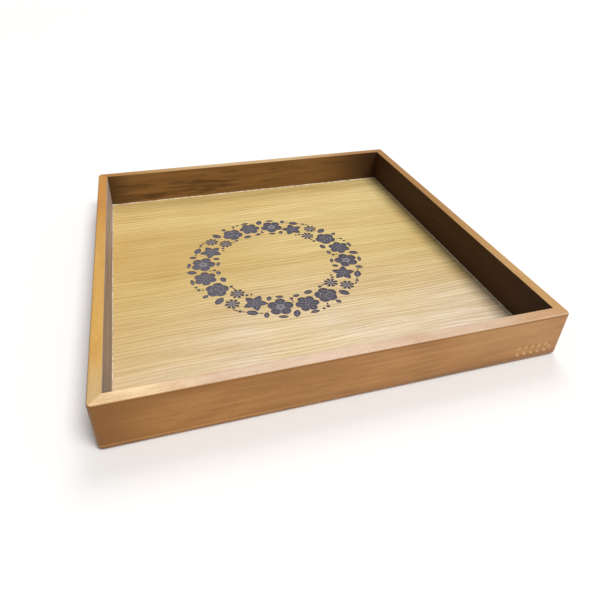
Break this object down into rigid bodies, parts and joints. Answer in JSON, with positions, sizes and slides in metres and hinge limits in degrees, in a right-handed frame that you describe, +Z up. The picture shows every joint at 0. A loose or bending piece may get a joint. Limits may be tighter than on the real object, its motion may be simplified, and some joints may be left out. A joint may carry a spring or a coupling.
{
  "type": "serving tray",
  "caption": "Square shallow serving tray of stained wood, with mitred rails, a veneered floor panel held in a groove and an engraved flower wreath.",
  "frame": {"origin": "on the table, in the middle of the tray's square outline", "axes": "+Z up out of the tray, +X along the front rail towards its engraved end, +Y to the back rail"},
  "size_m": [0.4, 0.4, 0.048],
  "materials": {
    "rail_wood": "stained, satin",
    "floor_veneer": "oak veneer, satin lacquer, engraved",
    "core_ply": "raw",
    "back_veneer": "sealed, matt",
    "tongue_wood": "raw",
    "glue_bead": "dried glue and lacquer"
  },
  "bodies": {
    "root": {"front_rail": "rail_wood", "back_rail": "rail_wood", "left_rail": "rail_wood", "right_rail": "rail_wood", "front_left_spline": "tongue_wood", "front_right_spline": "tongue_wood", "back_left_spline": "tongue_wood", "back_right_spline": "tongue_wood", "base_face_veneer": "floor_veneer", "base_core": "core_ply", "base_back_veneer": "back_veneer", "seam_bead": "glue_bead"}
  },
  "joints": []
}
